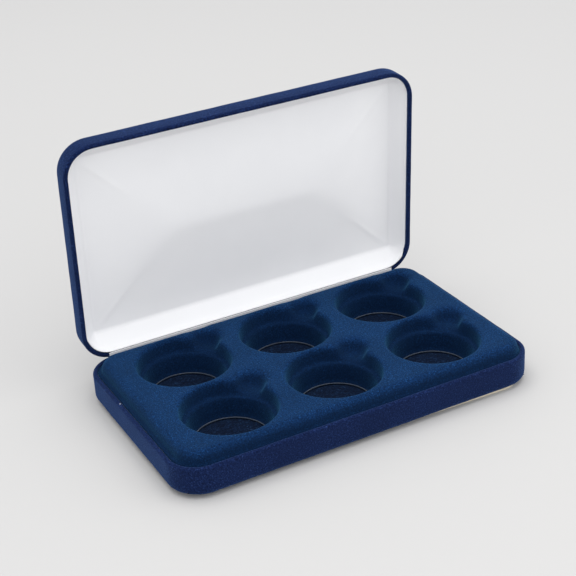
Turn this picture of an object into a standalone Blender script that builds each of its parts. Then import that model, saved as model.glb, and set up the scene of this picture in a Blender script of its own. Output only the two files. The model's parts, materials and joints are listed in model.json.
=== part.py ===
"""Hinged presentation case for six coin capsules.

A velvet-wrapped pan carries a flocked, formed tray with six stepped wells, and a
shallower velvet-wrapped pan, lined with padded satin, closes over it on two small
sprung hinges.  The case is modelled standing open.

Units are metres.  X runs along the hinge side, Y points to the back (the hinge
side), Z points up.  The origin is the centre of the underside.
"""
import math

import bmesh
import bpy
from mathutils import Matrix, Vector

MM = 0.001

# ---- coin wells, which set the size of everything round them
COLUMNS = 3
ROWS = 2
WELL_RADIUS = 25.0 * MM          # mouth of a well at the tray's top face
WELL_LIP = 1.1 * MM              # rounding of the mouth
LIP_INSIDE = 0.33 * MM           # part of that rounding inside the mouth's radius
WELL_WALL_DRAFT = 1.1 * MM       # how much the upper wall closes in over its height
LEDGE_DEPTH = 8.5 * MM           # top face down to the ledge a capsule rests on
LEDGE_WIDTH = 1.9 * MM
HOLE_DRAFT = 1.9 * MM            # how much the lower wall closes in
PUNCH_LIP = 0.8 * MM             # flat left inside the lower wall round the punched hole
LAND_X = 9.2 * MM                # tray left between neighbouring wells
LAND_Y = 2.1 * MM
WELL_STEPS = 32
LIP_STEPS = 3

# ---- finger notch at the back right of each well
NOTCH_RADIUS = 8.7 * MM
NOTCH_DEPTH = 7.0 * MM
NOTCH_DRAFT = 1.6 * MM
NOTCH_FILLET = 2.0 * MM
NOTCH_REACH = 25.9 * MM          # notch centre from the well's centre
NOTCH_BEARING = math.radians(39)
NOTCH_STEPS = 20
NOTCH_FILLET_STEPS = 3

# ---- formed tray
TRAY_SHEET = 0.9 * MM
TRAY_MARGIN_X = 12.6 * MM        # well mouth to the side of the raised field
TRAY_MARGIN_Y = 5.2 * MM
TRAY_CORNER = 11.0 * MM
TRAY_EDGE = 4.8 * MM             # rounding of the raised field's edge
TRAY_RISE = 6.0 * MM             # raised field above the rim of the pan
FLANGE_DROP = 0.5 * MM           # flange below the rim

# ---- room between the raised field and the outside of the case
SIDE_ROOM = 4.7 * MM
FRONT_ROOM = 3.7 * MM
BACK_ROOM = 6.1 * MM

# ---- wall of either pan, from the outside in
VELVET = 0.55 * MM
GAP = 0.2 * MM
PAN_SHEET = 0.9 * MM
RIM_FOLD = 2.8 * MM              # velvet turned down inside the rim
RIM_OUTER_ROUND = 1.2 * MM
RIM_INNER_ROUND = 0.8 * MM
BASE_CORNER = 17.0 * MM
PAN_EDGE = 4.0 * MM              # rounding between a pan's wall and its flat face
CORNER_STEPS = 6
EDGE_STEPS = 4
RIM_STEPS = 3
LEAST_CORNER = 0.4 * MM          # smallest plan corner of an inset outline

# ---- how the solids are cut and shaded
OVERCUT = 1.0 * MM               # how far a cutter runs past the face that it opens
WELD = 0.01 * MM
SAME_POINT = 0.0001 * MM
SHARP_ANGLE = math.radians(35)

# ---- base
BASE_HEIGHT = 17.2 * MM          # underside to rim
BOTTOM_CARD = 1.0 * MM
BOTTOM_CARD_INSET = 3.2 * MM
VELVET_TURN_UNDER = 12.0 * MM
FLOOR_FELT = 0.5 * MM
FELT_INSET = 5.0 * MM
TRAY_CLEAR = 0.3 * MM            # cut ends of the wells above the felt
COLLAR = 0.8 * MM

# ---- lid
LID_SIDE_STEP = 0.7 * MM         # lid narrower than the base on each side
SEAM = 0.4 * MM                  # gap between the closed rims
SATIN = 0.5 * MM
SATIN_RIM_DROP = 0.6 * MM        # satin edge behind the lid's rim plane
SATIN_STRAIGHT = 4.0 * MM        # depth at which its walls start to slope
SATIN_FROM_TOP = 3.1 * MM        # panel's edge below the lid's outer face
SATIN_SLOPE = 8.0 * MM           # plan width of the sloping wall
CROWN = 3.7 * MM                 # how far the panel bulges over its edge
CROWN_CLEAR = 0.5 * MM           # between the closed panel and the tray
CROWN_RUN = 38.0 * MM
CROWN_STEPS = 4
SATIN_SIDE_GAP = 2.7 * MM
SATIN_BACK_GAP = 3.6 * MM
FOAM_INSET = 6.0 * MM            # from the panel's edge
FOAM_CLEAR = 0.3 * MM
LINING_CARD = 0.5 * MM
CARD_INSET = 4.4 * MM

# ---- hinges
OPEN_ANGLE = math.radians(87)
HINGE_X = 60.0 * MM
HINGE_WIDTH = 24.0 * MM
KNUCKLE_RADIUS = 1.35 * MM
KNUCKLE_INSIDE_BACK = 0.05 * MM  # knuckle inside the back face
KNUCKLE_OVER_RIM = 0.25 * MM     # knuckle above the base's rim
KNUCKLE_BORE = 0.8 * MM
END_KNUCKLE = 5.0 * MM
KNUCKLE_GAP = 0.3 * MM
PIN_RADIUS = 0.5 * MM
PIN_HEAD_RADIUS = 0.9 * MM
PIN_HEAD = 0.4 * MM
LEAF = 0.45 * MM
BASE_LEAF_REACH = 8.4 * MM       # from the pivot to the leaf's far edge
LID_LEAF_FROM_TOP = 3.3 * MM     # leaf's far edge below the lid's outer face
LEAF_FROM_PIVOT = 0.5 * MM       # back face of a leaf in front of the pivot line
LEG_OVERLAP = 0.5 * MM           # how far a leg runs into its plate
RIVET_RADIUS = 0.9 * MM
RIVET_HOLE = 1.2 * MM
RIVET_HEAD_RADIUS = 1.6 * MM
RIVET_HEAD_FLAT = 0.95 * MM      # flat top of the head
RIVET_HEAD = 0.3 * MM
RIVET_HEAD_EDGE = 0.15 * MM
RIVET_TAIL_CLEAR = 0.1 * MM      # tail short of the shell's outer face
RIVET_FROM_END = 2.4 * MM        # rivet from its leaf's far edge
RIVET_SPACING = 16.0 * MM
SPRING_WIDTH = 9.0 * MM
SPRING = 0.35 * MM
SPRING_LAP = 0.2 * MM            # free end above the knuckle's lowest point
SPRING_BOW = 1.2 * MM
SPRING_STEPS = 8
TURNED_STEPS = 16
RIVET_STEPS = 12
POCKET_SIDE = 0.6 * MM           # room beyond the pin heads
POCKET_ROOM = 0.3 * MM           # room round the knuckles
POCKET_DEPTH = 3.2 * MM          # how far a pocket reaches in front of the pivot
COVER_STRIP = 0.25 * MM
COVER_LENGTH = 168.0 * MM
COVER_RISE = 2.0 * MM            # top edge above the pivot

# ---- sizes that follow
PITCH_X = 2 * WELL_RADIUS + LAND_X
PITCH_Y = 2 * WELL_RADIUS + LAND_Y
TRAY_HALF_X = (COLUMNS - 1) * PITCH_X / 2 + WELL_RADIUS + TRAY_MARGIN_X
TRAY_HALF_Y = (ROWS - 1) * PITCH_Y / 2 + WELL_RADIUS + TRAY_MARGIN_Y
BASE_HALF_X = TRAY_HALF_X + SIDE_ROOM
BASE_HALF_Y = TRAY_HALF_Y + (FRONT_ROOM + BACK_ROOM) / 2
TRAY_Y = -(BACK_ROOM - FRONT_ROOM) / 2
TRAY_TOP = BASE_HEIGHT + TRAY_RISE
RIM_WIDTH = 2 * VELVET + 2 * GAP + PAN_SHEET
SHELL_INSET = VELVET + GAP
INNER_FACE = SHELL_INSET + PAN_SHEET
WRAP_BOTTOM = BOTTOM_CARD + GAP
SHELL_BOTTOM = WRAP_BOTTOM + VELVET + GAP
FELT_BOTTOM = SHELL_BOTTOM + PAN_SHEET + GAP
FELT_TOP = FELT_BOTTOM + FLOOR_FELT
CUP_END = FELT_TOP + TRAY_CLEAR
FLANGE_TOP = BASE_HEIGHT - FLANGE_DROP
FLANGE_INSET = RIM_WIDTH + GAP
LID_HALF_X = BASE_HALF_X - LID_SIDE_STEP
LID_RIM_Z = BASE_HEIGHT + SEAM
SATIN_DEPTH = TRAY_RISE - SEAM + CROWN_CLEAR + CROWN
LID_DEPTH = SATIN_DEPTH + SATIN_FROM_TOP
LID_TOP_Z = LID_RIM_Z + LID_DEPTH
LID_CORNER = BASE_CORNER - LID_SIDE_STEP
CARD_TOP = INNER_FACE + GAP      # below the lid's outer face
PIVOT_FROM_BACK = KNUCKLE_RADIUS + KNUCKLE_INSIDE_BACK
PIVOT_Y = BASE_HALF_Y - PIVOT_FROM_BACK
PIVOT_Z = BASE_HEIGHT + KNUCKLE_RADIUS + KNUCKLE_OVER_RIM
LID_LEAF_REACH = LID_TOP_Z - LID_LEAF_FROM_TOP - PIVOT_Z
BASE_RIVET_Z = PIVOT_Z - BASE_LEAF_REACH + RIVET_FROM_END
LID_RIVET_Z = LID_LEAF_REACH - RIVET_FROM_END
LEAF_BACK_Y = PIVOT_Y - LEAF_FROM_PIVOT
LEAF_FRONT_Y = LEAF_BACK_Y - LEAF

LOOKS = {
    "navy velvet": ((0.012, 0.018, 0.095), 0.95, 0.0),
    "blue flock": ((0.010, 0.045, 0.150), 0.95, 0.0),
    "dark felt": ((0.006, 0.012, 0.045), 0.95, 0.0),
    "shell plastic": ((0.70, 0.66, 0.56), 0.55, 0.0),
    "cream card": ((0.72, 0.66, 0.54), 0.85, 0.0),
    "grey board": ((0.45, 0.43, 0.40), 0.90, 0.0),
    "white satin": ((0.84, 0.84, 0.86), 0.45, 0.0),
    "white foam": ((0.80, 0.79, 0.74), 0.95, 0.0),
    "nickel steel": ((0.60, 0.60, 0.58), 0.28, 1.0),
    "spring steel": ((0.30, 0.32, 0.36), 0.30, 1.0),
    "aluminium": ((0.70, 0.70, 0.71), 0.35, 1.0),
}


# ---- helpers ------------------------------------------------------------------

def clear_scene():
    for old in list(bpy.data.objects):
        bpy.data.objects.remove(old, do_unlink=True)


def material_for(look, name):
    colour, roughness, metallic = LOOKS[look]
    made = bpy.data.materials.new(name)
    made.use_nodes = True
    shader = made.node_tree.nodes["Principled BSDF"]
    shader.inputs["Base Color"].default_value = (*colour, 1.0)
    shader.inputs["Roughness"].default_value = roughness
    shader.inputs["Metallic"].default_value = metallic
    made.diffuse_color = (*colour, 1.0)
    return made


def finish_object(name, bm, look, parent=None, smooth=True):
    """Close a bmesh off as a named object with its own material."""
    bmesh.ops.remove_doubles(bm, verts=bm.verts, dist=SAME_POINT)
    bmesh.ops.recalc_face_normals(bm, faces=bm.faces)
    mesh = bpy.data.meshes.new(name)
    bm.to_mesh(mesh)
    bm.free()
    if smooth:
        mesh.shade_smooth()
        mesh.set_sharp_from_angle(angle=SHARP_ANGLE)
    made = bpy.data.objects.new(name, mesh)
    bpy.context.collection.objects.link(made)
    mesh.materials.append(material_for(look, name))
    made.parent = parent
    return made


def cutter(name, bm, parent=None):
    """A hidden operand for a Boolean."""
    made = finish_object(name, bm, "grey board", parent, smooth=False)
    made.hide_render = True
    made.display_type = "WIRE"
    return made


def boolean(target, tool, operation):
    step = target.modifiers.new(f"{operation.lower()} {tool.name}", "BOOLEAN")
    step.operation = operation
    step.solver = "EXACT"
    step.object = tool


def weld(target):
    """Merge the hair-thin edges that a cut through many facets leaves."""
    step = target.modifiers.new("weld", "WELD")
    step.merge_threshold = WELD


def arc(centre, radius, start, stop, steps):
    """Points (inset, height) round an arc, angles in degrees."""
    points = []
    for k in range(steps + 1):
        angle = math.radians(start + (stop - start) * k / steps)
        points.append((centre[0] + radius * math.cos(angle), centre[1] + radius * math.sin(angle)))
    return points


def rounded_outline(half_x, half_y, radius):
    """Rounded rectangle, counter-clockwise, the same number of points for any size."""
    points = []
    corners = ((1, 1, 0), (-1, 1, 90), (-1, -1, 180), (1, -1, 270))
    for side_x, side_y, start in corners:
        for k in range(CORNER_STEPS + 1):
            angle = math.radians(start + 90 * k / CORNER_STEPS)
            x = side_x * (half_x - radius) + radius * math.cos(angle)
            y = side_y * (half_y - radius) + radius * math.sin(angle)
            points.append((x, y))
    return points


def skin_between(bm, ring, following):
    """Quads between two rings of the same number of vertices."""
    count = len(ring)
    for k in range(count):
        after = (k + 1) % count
        bm.faces.new((ring[k], ring[after], following[after], following[k]))


def follow_outline(bm, plan, profile, closed=False, centre_y=0.0, flip=None):
    """Run a profile of (inset, height) points round a rounded rectangle.

    plan is (half_x, half_y, corner).  An open profile is capped at both ends;
    flip turns heights upside down from the given level.
    """
    half_x, half_y, corner = plan
    rings = []
    for inset, height in profile:
        outline = rounded_outline(half_x - inset, half_y - inset, max(corner - inset, LEAST_CORNER))
        z = height if flip is None else flip - height
        rings.append([bm.verts.new((x, y + centre_y, z)) for x, y in outline])
    for ring, following in zip(rings, rings[1:]):
        skin_between(bm, ring, following)
    if closed:
        skin_between(bm, rings[-1], rings[0])
    else:
        bm.faces.new(rings[0])
        bm.faces.new(rings[-1])


def turned(bm, profile, steps, centre=(0.0, 0.0)):
    """Spin a profile of (radius, z), which starts and ends on the axis, about Z."""
    middle = Vector((centre[0], centre[1], 0.0))
    verts = [bm.verts.new(middle + Vector((r, 0.0, z))) for r, z in profile]
    edges = [bm.edges.new(pair) for pair in zip(verts, verts[1:])]
    bmesh.ops.spin(bm, geom=verts + edges, cent=middle, axis=(0, 0, 1),
                   angle=2 * math.pi, steps=steps, use_merge=True)


def box(bm, low, high):
    size = Vector(high) - Vector(low)
    middle = (Vector(high) + Vector(low)) / 2
    place = Matrix.Translation(middle) @ Matrix.Diagonal((*size, 1.0))
    bmesh.ops.create_cube(bm, size=1.0, matrix=place)


def rod(bm, x0, x1, radius, y, z):
    """Solid cylinder lying along X."""
    place = Matrix.Translation(((x0 + x1) / 2, y, z)) @ Matrix.Rotation(math.pi / 2, 4, "Y")
    bmesh.ops.create_cone(bm, cap_ends=True, segments=TURNED_STEPS, radius1=radius,
                          radius2=radius, depth=x1 - x0, matrix=place)


def peg(bm, x, z, radius, y0, y1):
    """Solid cylinder lying along Y."""
    place = Matrix.Translation((x, (y0 + y1) / 2, z)) @ Matrix.Rotation(math.pi / 2, 4, "X")
    bmesh.ops.create_cone(bm, cap_ends=True, segments=RIVET_STEPS, radius1=radius,
                          radius2=radius, depth=y1 - y0, matrix=place)


def side_strip(bm, x0, x1, points):
    """Extrude a closed outline of (y, z) points along X."""
    ring = [bm.verts.new((x0, y, z)) for y, z in points]
    face = bm.faces.new(ring)
    grown = bmesh.ops.extrude_face_region(bm, geom=[face])
    moved = [item for item in grown["geom"] if isinstance(item, bmesh.types.BMVert)]
    bmesh.ops.translate(bm, verts=moved, vec=(x1 - x0, 0, 0))


# ---- pans ---------------------------------------------------------------------

def pan_profile(height, edge, sheet):
    """Outer face then inner face of an open pan, as (inset, height)."""
    outer = arc((edge, edge), edge, 270, 180, EDGE_STEPS)
    inner = arc((edge, edge), edge - sheet, 180, 270, EDGE_STEPS)
    return outer + [(0.0, height), (sheet, height)] + inner


def rim_profile(height):
    """Velvet over the rim: outside corner, inside corner, and the turned-down fold."""
    outer = arc((RIM_OUTER_ROUND, height - RIM_OUTER_ROUND), RIM_OUTER_ROUND, 180, 90, RIM_STEPS)
    inner_centre = (RIM_WIDTH - RIM_INNER_ROUND, height - RIM_INNER_ROUND)
    inner = arc(inner_centre, RIM_INNER_ROUND, 90, 0, RIM_STEPS)
    fold_end = height - RIM_FOLD
    back = [(RIM_WIDTH, fold_end), (RIM_WIDTH - VELVET, fold_end),
            (RIM_WIDTH - VELVET, height - VELVET), (VELVET, height - VELVET)]
    return outer + inner + back


def base_plan():
    return (BASE_HALF_X, BASE_HALF_Y, BASE_CORNER)


def shell_plan(plan):
    return tuple(size - SHELL_INSET for size in plan)


def lid_plan():
    return (LID_HALF_X, BASE_HALF_Y, LID_CORNER)


def make_bottom_card():
    bm = bmesh.new()
    profile = [(BOTTOM_CARD_INSET, 0.0), (BOTTOM_CARD_INSET, BOTTOM_CARD)]
    follow_outline(bm, base_plan(), profile)
    return finish_object("bottom_card", bm, "cream card")


def make_base_velvet():
    """Velvet from under the floor's edge, up the wall and over the rim."""
    low = [(VELVET_TURN_UNDER, WRAP_BOTTOM)]
    outer = arc((PAN_EDGE, WRAP_BOTTOM + PAN_EDGE), PAN_EDGE, 270, 180, EDGE_STEPS)
    inner = arc((PAN_EDGE, WRAP_BOTTOM + PAN_EDGE), PAN_EDGE - VELVET, 180, 270, EDGE_STEPS)
    last = [(VELVET_TURN_UNDER, WRAP_BOTTOM + VELVET)]
    bm = bmesh.new()
    follow_outline(bm, base_plan(), low + outer + rim_profile(BASE_HEIGHT) + inner + last, closed=True)
    made = finish_object("base_velvet", bm, "navy velvet")
    for side in (-1, 1):
        boolean(made, pocket_cutter(f"base_fold_pocket_{side}", side, FLANGE_TOP - RIM_FOLD), "DIFFERENCE")
    return made


def make_base_shell():
    bm = bmesh.new()
    edge = PAN_EDGE - SHELL_INSET
    top = BASE_HEIGHT - VELVET - GAP
    profile = [(i, h + SHELL_BOTTOM) for i, h in pan_profile(top - SHELL_BOTTOM, edge, PAN_SHEET)]
    follow_outline(bm, shell_plan(base_plan()), profile)
    made = finish_object("base_shell", bm, "shell plastic")
    boolean(made, rivet_holes("base_rivet_holes", BASE_RIVET_Z), "DIFFERENCE")
    return made


def make_floor_felt():
    bm = bmesh.new()
    follow_outline(bm, base_plan(), [(FELT_INSET, FELT_BOTTOM), (FELT_INSET, FELT_TOP)])
    return finish_object("floor_felt", bm, "dark felt")


def make_tray_collar():
    """Board strip inside the wall that carries the tray's flange."""
    low = FELT_TOP + TRAY_CLEAR
    high = FLANGE_TOP - TRAY_SHEET - TRAY_CLEAR
    outer = FLANGE_INSET
    inner = FLANGE_INSET + COLLAR
    bm = bmesh.new()
    follow_outline(bm, base_plan(), [(outer, low), (outer, high), (inner, high), (inner, low)], closed=True)
    made = finish_object("tray_collar", bm, "grey board")
    pocket_floor = PIVOT_Z - BASE_LEAF_REACH - POCKET_ROOM
    for side in (-1, 1):
        boolean(made, pocket_cutter(f"collar_pocket_{side}", side, pocket_floor), "DIFFERENCE")
    return made


# ---- tray ---------------------------------------------------------------------

def well_centres():
    for row in range(ROWS):
        for column in range(COLUMNS):
            x = (column - (COLUMNS - 1) / 2) * PITCH_X
            y = (row - (ROWS - 1) / 2) * PITCH_Y + TRAY_Y
            yield x, y


def well_radii():
    """Radii down the inside of a well: wall top, wall foot, ledge edge, hole foot."""
    wall_top = WELL_RADIUS - LIP_INSIDE
    wall_foot = wall_top - WELL_WALL_DRAFT
    ledge_edge = wall_foot - LEDGE_WIDTH
    hole_foot = ledge_edge - HOLE_DRAFT
    return wall_top, wall_foot, ledge_edge, hole_foot


def well_inside():
    wall_top, wall_foot, ledge_edge, hole_foot = well_radii()
    lip = arc((wall_top + WELL_LIP, TRAY_TOP - WELL_LIP), WELL_LIP, 90, 180, LIP_STEPS)
    ledge = TRAY_TOP - LEDGE_DEPTH
    punch = hole_foot - PUNCH_LIP
    profile = [(0.0, TRAY_TOP + OVERCUT), (wall_top + WELL_LIP, TRAY_TOP + OVERCUT)]
    profile += lip
    profile += [(wall_foot, ledge), (ledge_edge, ledge)]
    profile += [(hole_foot, CUP_END + TRAY_SHEET), (punch, CUP_END + TRAY_SHEET)]
    profile += [(punch, CUP_END - OVERCUT), (0.0, CUP_END - OVERCUT)]
    return profile


def well_outside():
    wall_top, wall_foot, ledge_edge, hole_foot = well_radii()
    ledge = TRAY_TOP - LEDGE_DEPTH - TRAY_SHEET
    top = TRAY_TOP - TRAY_SHEET / 2
    profile = [(0.0, top), (wall_top + TRAY_SHEET, top)]
    profile += [(wall_foot + TRAY_SHEET, ledge), (ledge_edge + TRAY_SHEET, ledge)]
    profile += [(hole_foot + TRAY_SHEET, CUP_END), (0.0, CUP_END)]
    return profile


def notch_profile(grow, top):
    """Dished finger notch, grown outwards by the sheet for its underside."""
    foot = NOTCH_RADIUS - NOTCH_DRAFT + grow
    floor = TRAY_TOP - NOTCH_DEPTH - grow
    fillet = NOTCH_FILLET
    bend = arc((foot - fillet, floor + fillet), fillet, 0, -90, NOTCH_FILLET_STEPS)
    return [(0.0, top), (NOTCH_RADIUS + grow, top)] + bend + [(0.0, floor)]


def notch_centre(well):
    return (well[0] + NOTCH_REACH * math.cos(NOTCH_BEARING),
            well[1] + NOTCH_REACH * math.sin(NOTCH_BEARING))


def field_edge(grow):
    """Rounded edge of the raised field, as (inset, height), grown inwards by the sheet."""
    edge = TRAY_EDGE - grow
    return arc((grow + edge, TRAY_TOP - grow - edge), edge, 180, 90, EDGE_STEPS)


def make_coin_tray():
    plan = (TRAY_HALF_X, TRAY_HALF_Y, TRAY_CORNER)
    underside = FLANGE_TOP - TRAY_SHEET
    block = bmesh.new()
    follow_outline(block, plan, [(0.0, underside)] + field_edge(0.0), centre_y=TRAY_Y)
    tray = finish_object("coin_tray", block, "blue flock")

    flange = bmesh.new()
    follow_outline(flange, base_plan(), [(FLANGE_INSET, underside), (FLANGE_INSET, FLANGE_TOP)])
    boolean(tray, cutter("tray_flange_solid", flange), "UNION")

    hollow = bmesh.new()
    inside = [(TRAY_SHEET, underside - OVERCUT)] + field_edge(TRAY_SHEET)
    follow_outline(hollow, plan, inside, centre_y=TRAY_Y)
    boolean(tray, cutter("tray_hollow", hollow), "DIFFERENCE")

    cups = bmesh.new()
    notches = bmesh.new()
    cup_cuts = bmesh.new()
    notch_cuts = bmesh.new()
    for well in well_centres():
        turned(cups, well_outside(), WELL_STEPS, well)
        turned(cup_cuts, well_inside(), WELL_STEPS, well)
        turned(notches, notch_profile(TRAY_SHEET, TRAY_TOP - TRAY_SHEET / 2), NOTCH_STEPS, notch_centre(well))
        turned(notch_cuts, notch_profile(0.0, TRAY_TOP + OVERCUT), NOTCH_STEPS, notch_centre(well))
    boolean(tray, cutter("well_walls", cups), "UNION")
    boolean(tray, cutter("notch_walls", notches), "UNION")
    boolean(tray, cutter("well_cuts", cup_cuts), "DIFFERENCE")
    weld(tray)
    boolean(tray, cutter("notch_cuts", notch_cuts), "DIFFERENCE")
    for side in (-1, 1):
        boolean(tray, pocket_cutter(f"flange_pocket_{side}", side, underside - OVERCUT), "DIFFERENCE")
    weld(tray)
    return tray


# ---- hinges -------------------------------------------------------------------

def pocket_cutter(name, side, floor):
    """Room in front of the back wall for one hinge."""
    half = HINGE_WIDTH / 2 + KNUCKLE_GAP + PIN_HEAD + POCKET_SIDE
    bm = bmesh.new()
    box(bm, (side * HINGE_X - half, PIVOT_Y - POCKET_DEPTH, floor),
        (side * HINGE_X + half, LEAF_BACK_Y + POCKET_ROOM, PIVOT_Z + OVERCUT))
    return cutter(name, bm)


def lid_slot_cutter(name, side, parent):
    """Slot through the lid's back wall that the knuckles stand in."""
    half = HINGE_WIDTH / 2 + KNUCKLE_GAP + PIN_HEAD + POCKET_SIDE
    bm = bmesh.new()
    box(bm, (side * HINGE_X - half, -POCKET_DEPTH, LID_RIM_Z - PIVOT_Z - OVERCUT),
        (side * HINGE_X + half, PIVOT_FROM_BACK + OVERCUT, KNUCKLE_RADIUS + POCKET_ROOM))
    return cutter(name, bm, parent)


def rivet_places(side):
    for end in (-1, 1):
        yield side * HINGE_X + end * RIVET_SPACING / 2


def rivet_holes(name, z, parent=None, pivot_y=PIVOT_Y):
    bm = bmesh.new()
    for side in (-1, 1):
        for x in rivet_places(side):
            peg(bm, x, z, RIVET_HOLE, pivot_y - POCKET_DEPTH, pivot_y + PIVOT_FROM_BACK)
    return cutter(name, bm, parent)


def make_rivet(name, x, z, pivot_y, parent=None):
    """Rivet with its head on the leaf and its tail flush in the pan's wall."""
    head = LEAF_FROM_PIVOT + LEAF + GAP - pivot_y
    tail = SHELL_INSET + RIVET_TAIL_CLEAR - PIVOT_FROM_BACK - pivot_y
    profile = [(0.0, tail), (RIVET_RADIUS, tail), (RIVET_RADIUS, head),
               (RIVET_HEAD_RADIUS, head), (RIVET_HEAD_RADIUS, head + RIVET_HEAD_EDGE),
               (RIVET_HEAD_FLAT, head + RIVET_HEAD), (0.0, head + RIVET_HEAD)]
    bm = bmesh.new()
    turned(bm, profile, RIVET_STEPS)
    place = Matrix.Translation((x, 0, z)) @ Matrix.Rotation(math.pi / 2, 4, "X")
    bmesh.ops.transform(bm, matrix=place, verts=bm.verts)
    return finish_object(name, bm, "aluminium", parent)


def make_leaf(name, x, knuckles, far_z, plate_z, pivot_y, pivot_z, parent=None):
    """One hinge leaf: a flat plate, its legs and the knuckles rolled at their ends."""
    direction = 1 if far_z > pivot_z else -1
    front = pivot_y - LEAF_FROM_PIVOT - LEAF
    back = pivot_y - LEAF_FROM_PIVOT
    half = HINGE_WIDTH / 2
    bm = bmesh.new()
    box(bm, (x - half, front, min(plate_z, far_z)), (x + half, back, max(plate_z, far_z)))
    leaf = finish_object(name, bm, "nickel steel", parent)
    for index, (x0, x1) in enumerate(knuckles):
        leg = bmesh.new()
        inner = plate_z + direction * LEG_OVERLAP
        box(leg, (x + x0, front, min(pivot_z, inner)), (x + x1, back, max(pivot_z, inner)))
        boolean(leaf, cutter(f"{name}_leg_{index}", leg, parent), "UNION")
        barrel = bmesh.new()
        rod(barrel, x + x0, x + x1, KNUCKLE_RADIUS, pivot_y, pivot_z)
        boolean(leaf, cutter(f"{name}_barrel_{index}", barrel, parent), "UNION")
    bore = bmesh.new()
    rod(bore, x - half - OVERCUT, x + half + OVERCUT, KNUCKLE_BORE, pivot_y, pivot_z)
    boolean(leaf, cutter(f"{name}_bore", bore, parent), "DIFFERENCE")
    return leaf


def make_pin(name, x):
    reach = HINGE_WIDTH / 2 + KNUCKLE_GAP
    profile = [(0.0, -reach - PIN_HEAD), (PIN_HEAD_RADIUS, -reach - PIN_HEAD), (PIN_HEAD_RADIUS, -reach),
               (PIN_RADIUS, -reach), (PIN_RADIUS, reach),
               (PIN_HEAD_RADIUS, reach), (PIN_HEAD_RADIUS, reach + PIN_HEAD), (0.0, reach + PIN_HEAD)]
    bm = bmesh.new()
    turned(bm, profile, TURNED_STEPS)
    place = Matrix.Translation((x, PIVOT_Y, PIVOT_Z)) @ Matrix.Rotation(math.pi / 2, 4, "Y")
    bmesh.ops.transform(bm, matrix=place, verts=bm.verts)
    return finish_object(name, bm, "nickel steel")


def make_spring(name, x):
    """Bowed strip on the base leaf, its free end just below the middle knuckle."""
    foot_y = LEAF_FRONT_Y - GAP
    low = PIVOT_Z - BASE_LEAF_REACH
    tip = PIVOT_Z - KNUCKLE_RADIUS + SPRING_LAP
    back = []
    front = []
    for k in range(SPRING_STEPS + 1):
        share = k / SPRING_STEPS
        z = low + (tip - low) * share
        y = foot_y - SPRING_BOW * math.sin(math.pi * share) ** 2
        back.append((y, z))
        front.append((y - SPRING, z))
    bm = bmesh.new()
    side_strip(bm, x - SPRING_WIDTH / 2, x + SPRING_WIDTH / 2, back + front[::-1])
    return finish_object(name, bm, "spring steel")


def make_hinges(lid):
    half = HINGE_WIDTH / 2
    middle = half - END_KNUCKLE - KNUCKLE_GAP
    ends = [(-half, -half + END_KNUCKLE), (half - END_KNUCKLE, half)]
    clear = KNUCKLE_RADIUS + POCKET_ROOM
    leaf_holes = rivet_holes("base_leaf_holes", BASE_RIVET_Z)
    lid_leaf_holes = rivet_holes("lid_leaf_holes", LID_RIVET_Z, lid, 0.0)
    for side, word in ((-1, "left"), (1, "right")):
        x = side * HINGE_X
        base_leaf = make_leaf(f"hinge_base_leaf_{word}", x, ends, PIVOT_Z - BASE_LEAF_REACH,
                              PIVOT_Z - clear, PIVOT_Y, PIVOT_Z)
        boolean(base_leaf, leaf_holes, "DIFFERENCE")
        lid_leaf = make_leaf(f"hinge_lid_leaf_{word}", x, [(-middle, middle)], LID_LEAF_REACH,
                             clear, 0.0, 0.0, lid)
        boolean(lid_leaf, lid_leaf_holes, "DIFFERENCE")
        make_pin(f"hinge_pin_{word}", x)
        make_spring(f"hinge_spring_{word}", x)
        for number, rivet_x in enumerate(rivet_places(side), start=1):
            make_rivet(f"base_rivet_{word}_{number}", rivet_x, BASE_RIVET_Z, PIVOT_Y)
            make_rivet(f"lid_rivet_{word}_{number}", rivet_x, LID_RIVET_Z, 0.0, lid)


# ---- lid, in coordinates centred on the pivot ------------------------------------

def make_lid_frame():
    """Empty on the hinge axis; the lid's pieces are drawn closed and turned with it."""
    frame = bpy.data.objects.new("lid_frame", None)
    bpy.context.collection.objects.link(frame)
    frame.location = (0.0, PIVOT_Y, PIVOT_Z)
    frame.rotation_euler = (-OPEN_ANGLE, 0.0, 0.0)
    return frame


def lid_outline(bm, plan, profile, centre_y=0.0):
    """Profile heights are measured down from the lid's outer face."""
    follow_outline(bm, plan, profile, centre_y=centre_y - PIVOT_Y, flip=LID_TOP_Z - PIVOT_Z)


def make_lid_velvet(lid):
    """Velvet over the whole of the lid's outside, turned in at the rim."""
    outer = arc((PAN_EDGE, PAN_EDGE), PAN_EDGE, 270, 180, EDGE_STEPS)
    inner = arc((PAN_EDGE, PAN_EDGE), PAN_EDGE - VELVET, 180, 270, EDGE_STEPS)
    bm = bmesh.new()
    lid_outline(bm, lid_plan(), outer + rim_profile(LID_DEPTH) + inner)
    made = finish_object("lid_velvet", bm, "navy velvet", lid)
    for side in (-1, 1):
        boolean(made, lid_slot_cutter(f"lid_velvet_slot_{side}", side, lid), "DIFFERENCE")
    return made


def make_lid_shell(lid):
    bm = bmesh.new()
    edge = PAN_EDGE - SHELL_INSET
    height = LID_DEPTH - 2 * SHELL_INSET
    profile = [(i, h + SHELL_INSET) for i, h in pan_profile(height, edge, PAN_SHEET)]
    lid_outline(bm, shell_plan(lid_plan()), profile)
    made = finish_object("lid_shell", bm, "shell plastic", lid)
    for side in (-1, 1):
        boolean(made, lid_slot_cutter(f"lid_shell_slot_{side}", side, lid), "DIFFERENCE")
    boolean(made, rivet_holes("lid_rivet_holes", LID_RIVET_Z, lid, 0.0), "DIFFERENCE")
    return made


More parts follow.
